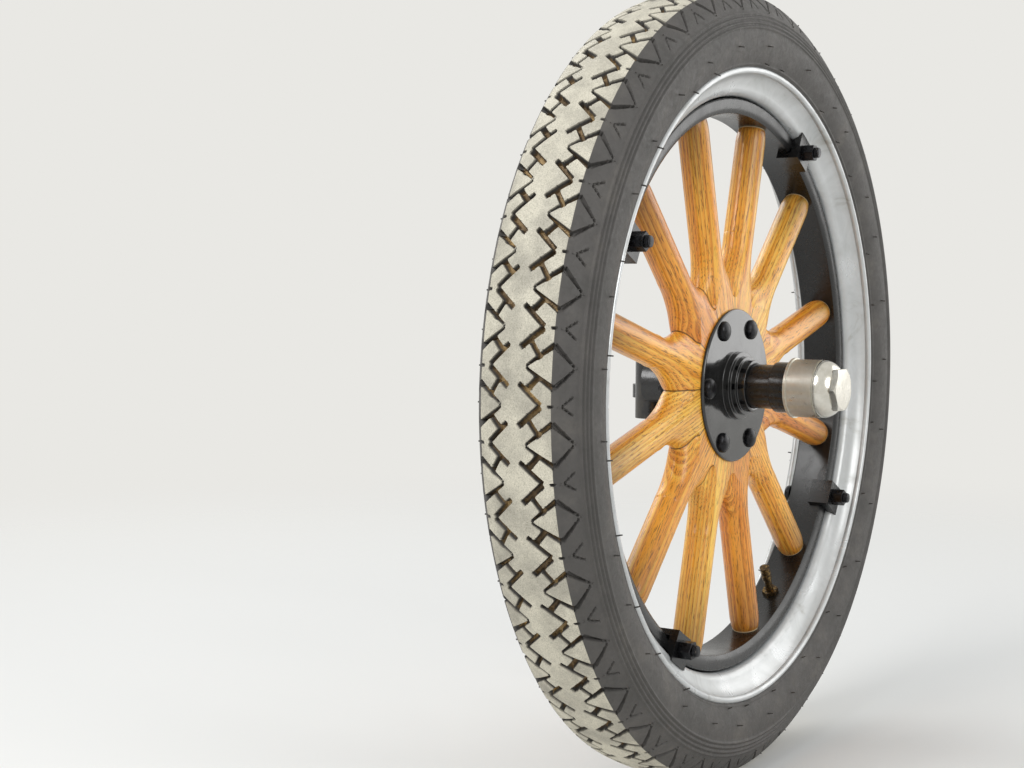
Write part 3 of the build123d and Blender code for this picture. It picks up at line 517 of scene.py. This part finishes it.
# The tyre's section, which tread, carcass and whiskers share, in complex numbers: the real part
# runs outboard from the tyre's middle, the imaginary part is the distance from the wheel's axis.
# The crown's nearly flat arc turns down at the tread's edge into the sidewall's, which ends at
# the rim's lip.
tyre_low, tyre_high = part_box("tyre")
MIDDLE_Y = (tyre_low.y + tyre_high.y) / 2
CROWN = 1j * tyre_high.z
TREAD_EDGE = 0.0334 + 0.3773j
WIDEST = 0.050 + 0.3460j
LIP = 0.0407 + 0.3046j
CROWN_STEPS, SIDE_STEPS = 60, 240


def arc(start, through, end, count):
    """count points at equal angles from start to end on the circle through three points. With
    w = (end - start) / (through - start), its centre is
    start - (start - through)(w - |w|^2) / (2i Im w)."""
    w = (end - start) / (through - start)
    centre = start - (start - through) * (w - abs(w) ** 2) / (2j * w.imag)
    turn = np.angle((end - centre) / (start - centre))
    return centre + (start - centre) * np.exp(1j * turn * np.linspace(0, 1, count))


over_crown = arc(-TREAD_EDGE.conjugate(), CROWN, TREAD_EDGE, 2 * CROWN_STEPS + 1)
outline = np.concatenate([over_crown[CROWN_STEPS:-1], arc(TREAD_EDGE, WIDEST, LIP, SIDE_STEPS)])
lengths = np.concatenate([[0], np.cumsum(np.abs(np.diff(outline)))])
outward = 1j * np.gradient(outline) / np.abs(np.gradient(outline))
edge_v = lengths[CROWN_STEPS]


def on_section(v, depth):
    """The section's point at length v along its outline from the crown, sunk by depth along its
    normal."""
    spot = np.interp(v, lengths, outline.real) + 1j * np.interp(v, lengths, outline.imag)
    normal = np.interp(v, lengths, outward.real) + 1j * np.interp(v, lengths, outward.imag)
    return spot - depth * normal / np.abs(normal)


def around(section, turn, side):
    """Carries section points round the wheel: x = r sin turn, y = middle - side times the
    distance outboard, z = r cos turn."""
    return np.stack([section.imag * np.sin(turn), MIDDLE_Y - side * section.real + 0 * turn,
                     section.imag * np.cos(turn)], axis=-1)


# Tread: a broad rib with arrow-shaped teeth, diamonds that fold over each shoulder, and lugs
# between them, moulded in one with the tyre. Every groove is a straight cut with square ends. The
# inboard half is its mirror image, set on by half a pitch.
PITCHES = 38
PITCH = 0.0632
FIRST_DIAMOND = 0.055      # of a pitch past the top of the tyre
COLUMNS = 48               # to a pitch
TREAD_END_V = 0.0565
RUN_OUT = 0.006            # over which the cuts fade before the tread's end
PLAIN_ROWS = [0.0, 0.0022]         # on the middle rib, which no cut reaches
ROW_V = np.concatenate([PLAIN_ROWS, np.linspace(0.0034, TREAD_END_V, 49)])
UNDERSIDE = 0.008
WALL = 0.0009              # of a cut, seen from above, and at most WALL_SHARE of its half width
WALL_SHARE = 0.6
TREAD_CRISP = 38
DUST_DEPTH = 0.001         # down a cut's wall, where the pale dust ends
DUST_EDGE = 0.0004         # to either side of the tread's edge, where it fades out
SOIL_DEPTH = 0.003         # down a cut, where soil begins, and is full at twice that
SOIL_FADE = 0.006          # past the tread's edge, where it ends

# A cut's two ends, the width at each, and the depth, in millimetres. An end is (v, u), with v
# across the tyre from the crown, and u along it from a diamond's middle, in a pitch of 63.2.
CUTS = (
    ((11.0, 0.6), (35.0, 18.4), 2.6, 5.8, 6.8),
    ((11.0, 62.6), (36.2, 45.4), 2.6, 5.8, 6.8),
    ((34.4, 18.2), (53.0, 1.0), 5.4, 2.4, 3.8),
    ((35.4, 46.0), (53.0, 62.2), 5.4, 2.4, 3.8),
    ((23.6, 6.4), (14.4, 20.4), 5.0, 4.8, 6.8),
    ((22.8, 55.8), (10.6, 42.6), 5.8, 6.0, 6.8),
    ((5.0, 50.0), (24.6, 32.4), 5.0, 5.0, 6.8),
    ((5.0, 15.2), (24.8, 31.8), 5.8, 6.2, 6.8),
    ((30.0, 31.6), (36.0, 31.6), 3.0, 3.6, 3.4),
    ((42.0, 31.6), (53.0, 23.6), 2.6, 2.6, 2.2),
    ((42.0, 31.6), (53.0, 39.6), 2.6, 2.6, 2.2),
)
cuts = [(complex(*start) / 1000 + shift, complex(*end) / 1000 + shift,
         first / 2000, last / 2000, depth / 1000)
        for start, end, first, last, depth in CUTS for shift in (-PITCH * 1j, 0, PITCH * 1j)]


def to_cut(spot, p, q, first, last):
    """Where spot lies from the cut from p to q, with half widths first and last: its distance to
    the square-ended outline, negative inside, the way straight out of it, its offset from the
    middle line, and the half width there."""
    ahead = (q - p) / abs(q - p)
    local = (spot - p) / ahead
    half = first + (last - first) * np.clip(local.real / abs(q - p), 0, 1)
    over = np.abs(local.imag) - half
    past = np.abs(local.real - abs(q - p) / 2) - abs(q - p) / 2
    off_side = np.sign(local.imag) * 1j * ahead
    off_end = np.sign(local.real - abs(q - p) / 2) * ahead
    corner = np.hypot(over, past)
    outside = (over > 0) & (past > 0)
    distance = np.where(outside, corner, np.maximum(over, past))
    way = np.where(outside, (over * off_side + past * off_end) / np.maximum(corner, 1e-9),
                   np.where(over >= past, off_side, off_end))
    return distance, way, 1j * local.imag * ahead, half


# One pitch of the height field. Each vertex near a cut's outline is moved on to it, and in a
# narrow cut those near its middle line on to that, so that the edges run straight.
CELL = PITCH / COLUMNS
REACH = 0.62 * CELL        # from an outline, within which a vertex is moved
NARROW = 1.35 * CELL       # half width of a cut below which its middle line draws vertices too
INMOST = 0.45              # of the half width, past which they belong to the middle line
row_v, column_u = np.meshgrid(ROW_V, np.arange(COLUMNS) * CELL, indexing="ij")
spot = row_v + 1j * column_u
nearest = np.full(spot.shape, 1.0)
pull = np.zeros(spot.shape, complex)
for p, q, first, last, depth in cuts:
    distance, way, offset, half = to_cut(spot, p, q, first, last)
    inmost = (distance < -INMOST * half) & (half < NARROW)
    wanted = np.where(inmost, offset, np.where(np.abs(distance) < REACH, way * distance, 0))
    closer = distance < nearest
    nearest = np.where(closer, distance, nearest)
    pull = np.where(closer, wanted, pull)
inner = (row_v > ROW_V[0]) & (row_v < ROW_V[-1])
spot = np.where(inner, spot - pull, spot)
sunk = np.zeros(spot.shape)
for p, q, first, last, depth in cuts:
    distance, way, offset, half = to_cut(spot, p, q, first, last)
    wall = np.minimum(WALL, WALL_SHARE * half)
    sunk = np.maximum(sunk, depth * np.clip(-distance / wall, 0, 1))
sunk *= np.clip((TREAD_END_V - spot.real) / RUN_OUT, 0, 1)

# The pitch is carried round the tyre, and closed by three rows on its underside
pitch_turn = 2 * pi / PITCHES
pitches = spot.imag[:, None, :] / PITCH + np.arange(PITCHES)[None, :, None]
turn = pitches.reshape(len(ROW_V), -1) * pitch_turn
v = np.tile(spot.real, PITCHES)
sunk = np.tile(sunk, PITCHES)
under_v = np.array([[TREAD_END_V], [edge_v], [0.0]])
under_turn = np.broadcast_to(turn[:1], (3, turn.shape[1]))
dusty = np.clip((edge_v + DUST_EDGE - v) / (2 * DUST_EDGE), 0, 1)
dusty = dusty * np.clip(1 - sunk / DUST_DEPTH, 0, 1)
soiled = np.clip((edge_v + SOIL_FADE - v) / SOIL_FADE, 0, 1)
soiled = soiled * np.clip((sunk - SOIL_DEPTH) / SOIL_DEPTH, 0, 1)
for name, side, half_on in (("tread_outboard", 1, 0.0), ("tread_inboard", -1, 0.5)):
    start_turn = (FIRST_DIAMOND + half_on) * pitch_turn
    tops = around(on_section(v, sunk), turn + start_turn, side)
    under = around(on_section(under_v, UNDERSIDE), under_turn + start_turn, side)
    tread = grid_piece(name, np.concatenate([tops, under]), "wheel", tyre_rubber,
                       TREAD_CRISP)
    for label, share in (("tread_top", dusty), ("groove_floor", soiled)):
        values = np.append(share, np.zeros(under_turn.size))
        attribute = tread.data.attributes.new(label, "FLOAT", "POINT")
        attribute.data.foreach_set("value", values.astype(np.float32))
    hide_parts("tyre")

# Carcass: sidewalls and beads of rubber over cord, in one with the tread on the real tyre. Four
# fine ribs run round below the tread, a bead line stands above the rim, and the beads sit inside
# the rim's flanges.
RIBS = 4
RIB_SPACING = 0.0042
RIB_HEIGHT = 0.0014
RIBS_FROM = 0.0575
RIBS_TO = RIBS_FROM + RIBS * RIB_SPACING
BEAD_LINE = 0.1072
BEAD_LINE_REACH = 0.002    # to either side of it, drawn in finer rows
BEAD_LINE_HALF = 0.0016    # half its width
BEAD_LINE_HEIGHT = 0.0006
LIP_ROLL = 0.0038          # before the outline's end, where the bead turns in
UNDER_TREAD = 0.0072       # less deep than the tread's underside, so that the two overlap
UNDER_TREAD_END = 0.0022   # before the tread's end, where the carcass comes out
BEAD = np.array([0.0352 + 0.3067j, 0.0325 + 0.3040j, 0.0282 + 0.2985j, 0.0240 + 0.2910j,
                 0.0185 + 0.2855j])
ROUND = 480                # points round the wheel
CARCASS_CRISP = 50


def rows(start, end, count):
    """count even steps from start, which is left out, to end."""
    return np.linspace(start, end, count + 1)[1:]


side_v = np.concatenate([[TREAD_END_V, RIBS_FROM], rows(RIBS_FROM, RIBS_TO, RIBS * 8),
                         rows(RIBS_TO, BEAD_LINE - BEAD_LINE_REACH, 11),
                         rows(BEAD_LINE - BEAD_LINE_REACH, BEAD_LINE + BEAD_LINE_REACH, 8),
                         rows(BEAD_LINE + BEAD_LINE_REACH, lengths[-1] - LIP_ROLL, 2)])
in_ribs = (side_v > RIBS_FROM) & (side_v < RIBS_TO)
ribs = RIB_HEIGHT * np.sin(pi * (side_v - RIBS_FROM) / RIB_SPACING) ** 2
raised = np.where(in_ribs, ribs, 0)
raised += BEAD_LINE_HEIGHT * np.clip(1 - np.abs(side_v - BEAD_LINE) / BEAD_LINE_HALF, 0, 1)
flank = on_section(side_v, -raised)
below_tread = on_section(rows(0, TREAD_END_V - UNDER_TREAD_END, 15), UNDER_TREAD)

# The outboard half is mirrored for the inboard one, and both close at the toes and the crown
half = np.concatenate([below_tread, flank, BEAD])
section = np.concatenate([half, [1j * BEAD[-1].imag], -half[::-1].conjugate(),
                          [on_section(0, UNDER_TREAD)]])
turn = np.arange(ROUND) * 2 * pi / ROUND
carcass = grid_piece("tyre_carcass", around(section[:, None], turn[None, :], 1), "wheel",
                     tyre_rubber, CARCASS_CRISP)
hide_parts("tyre")

# Vent whiskers: where air left the mould, the rubber stands up in pegs 1.4 mm thick. Short ones
# stand at the foot of each diamond and between them; longer ones are left here and there round
# the sidewall, the rest having worn off.
WHISKERS = (               # v across the tyre, how many, first one in spacings, height, unevenness
    (0.0395, PITCHES, 0.5, 0.0012, 0.0),
    (0.0548, PITCHES, 0.0, 0.0014, 0.0),
    (0.0885, 29, 0.2, 0.0058, 0.3),
    (0.1050, 27, 0.7, 0.0062, 0.3),
)
PEG_R = 0.0007
PEG_ROOT = 0.001           # under the tyre's face
PEG_SIDES = 8
peg_turn = np.arange(PEG_SIDES) * 2 * pi / PEG_SIDES
peg_r = PEG_R * np.array([0.0, 1.2, 1.0, 0.85, 0.0])[:, None]
peg_up = np.array([0.0, 0.0, 0.5, 1.0, 1.0])[:, None]


def peg(at_v, height, angle, side):
    """A round peg: its rings of radius peg_r stand square to a line from PEG_ROOT under the
    section to height over it, at shares peg_up of the line."""
    foot, tip = on_section(at_v, PEG_ROOT), on_section(at_v, -height)
    in_section = 1j * (tip - foot) / abs(tip - foot)
    flat = foot + (tip - foot) * peg_up + in_section * peg_r * np.cos(peg_turn)
    round_the_wheel = np.array([np.cos(angle), 0.0, -np.sin(angle)])
    sideways = (peg_r * np.sin(peg_turn))[..., None] * round_the_wheel
    return around(flat, np.full(flat.shape, angle), side) + sideways


pegs = []
for side in (1, -1):
    for at_v, count, phase, height, uneven in WHISKERS:
        for number in range(count):
            share = number + phase + (0.5 if side < 0 else 0) + uneven * random.uniform(-1, 1)
            if count == PITCHES:
                share += FIRST_DIAMOND
            standing = height * (1 - uneven * random.uniform(0, 1))
            pegs.append(peg(at_v, standing, share * 2 * pi / count, side))
pegs = np.array(pegs)
index = np.arange(pegs[..., 0].size).reshape(pegs.shape[:3])
beside = np.roll(index, -1, 2)
quads = np.stack([index[:, :-1], beside[:, :-1], beside[:, 1:], index[:, 1:]], axis=-1)
whisker_mesh = bpy.data.meshes.new("tyre_whiskers")
whisker_mesh.from_pydata(pegs.reshape(-1, 3).tolist(), [], quads.reshape(-1, 4).tolist())
whisker_mesh.materials.append(tyre_rubber)
whiskers = merged(bpy.data.objects.new("tyre_whiskers", whisker_mesh))
bpy.context.scene.collection.objects.link(whiskers)
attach(whiskers, "wheel")

# Studio: a pale matt floor under the tyre that fades into a pale surround and is clear from below.
# The strongest of four soft lamps shines on the tread, the others on the hub's far side, on the
# wheel's face and on its back.
STUDIO = "#e9e8e4"
SKYLIGHT = "#dfe4ea"
FLOOR_REACH = 6.0
FLOOR_FADE = (0.6, 2.6)    # from the origin, where it begins and where it ends
LAMPS = (                  # name, place, size, power in watts
    ("tread_lamp", (-2.1, 0.4, 1.6), 1.6, 44.0),
    ("hub_lamp", (2.4, -1.6, 0.95), 2.6, 26.0),
    ("front_lamp", (-0.6, -2.6, 1.0), 1.4, 24.0),
    ("back_lamp", (0.9, 2.3, 1.7), 1.8, 30.0),
)
floor_mesh = bpy.data.meshes.new("floor")
corners = [(x * FLOOR_REACH, y * FLOOR_REACH, tyre_low.z)
           for x, y in ((-1, -1), (1, -1), (1, 1), (-1, 1))]
floor_mesh.from_pydata(corners, [], [(0, 1, 2, 3)])
floor = bpy.data.objects.new("floor", floor_mesh)
bpy.context.scene.collection.objects.link(floor)
pale_floor, place = finish_named("pale_studio_floor")
distance = add(pale_floor, "VectorMath", {"operation": "LENGTH"}, {0: place})
fading = add(pale_floor, "MapRange", {"From Min": FLOOR_FADE[0], "From Max": FLOOR_FADE[1],
                                      "interpolation_type": "SMOOTHSTEP"},
             {"Value": distance.outputs["Value"]})
underside = add(pale_floor, "NewGeometry")
open_floor = add(pale_floor, "Math", {"operation": "MAXIMUM"},
                 {0: fading, 1: underside.outputs["Backfacing"]})
matt = add(pale_floor, "BsdfDiffuse", {"Color": linear(STUDIO)})
clear = add(pale_floor, "BsdfTransparent")
blended = add(pale_floor, "MixShader", {}, {0: open_floor, 1: matt, 2: clear})
add(pale_floor, "OutputMaterial", {}, {"Surface": blended})
floor_mesh.materials.append(pale_floor)

# The surround: the camera and reflections see the studio's tone, the rest gets a dim skylight
world = bpy.data.worlds.new("studio")
bpy.context.scene.world = world
world.use_nodes = True
world.node_tree.nodes.clear()
rays = add(world, "LightPath")
seen = add(world, "Math", {"operation": "MAXIMUM"},
           {0: rays.outputs["Is Camera Ray"], 1: rays.outputs["Is Glossy Ray"]})
lit = add(world, "Background", {"Color": linear(SKYLIGHT), "Strength": 0.55})
shown = add(world, "Background", {"Color": linear(STUDIO)})
mixed = add(world, "MixShader", {}, {0: seen, 1: lit, 2: shown})
add(world, "OutputWorld", {}, {"Surface": mixed})
for name, spot, size, power in LAMPS:
    lamp = bpy.data.lights.new(name, "AREA")
    lamp.shape = "DISK"
    lamp.size = size
    lamp.energy = power
    holder = bpy.data.objects.new(name, lamp)
    holder.location = spot
    holder.rotation_euler = (-Vector(spot)).to_track_quat("-Z", "Y").to_euler()
    holder.visible_camera = False
    bpy.context.scene.collection.objects.link(holder)

# Camera: its place, direction and lens were fitted to the circles and spokes of the wheel in the
# photograph, together with the wheel's own proportions.
CAMERA_PLACE = (-1.46118, -0.76487, 0.10418)
HEADING = 1.002            # in radians, from +Y towards +X
TILT = -0.065              # upwards
ROLL = 0.004               # about the line of sight
FOCAL_LENGTH, SENSOR_WIDTH = 56.92, 36.0           # in millimetres
lens = bpy.data.cameras.new("photo_camera")
lens.sensor_fit = "HORIZONTAL"
lens.sensor_width = SENSOR_WIDTH
lens.lens = FOCAL_LENGTH
camera = bpy.data.objects.new("photo_camera", lens)
forward = Vector((np.sin(HEADING) * np.cos(TILT), np.cos(HEADING) * np.cos(TILT), np.sin(TILT)))
level = forward.cross(Vector((0, 0, 1))).normalized()
upright = level.cross(forward)
right = np.cos(ROLL) * level + np.sin(ROLL) * upright
up = np.cos(ROLL) * upright - np.sin(ROLL) * level
facing = Matrix((right, up, -forward)).transposed().to_4x4()
camera.matrix_world = Matrix.Translation(CAMERA_PLACE) @ facing
bpy.context.scene.collection.objects.link(camera)
bpy.context.scene.camera = camera
bpy.context.scene.view_settings.view_transform = "Standard"
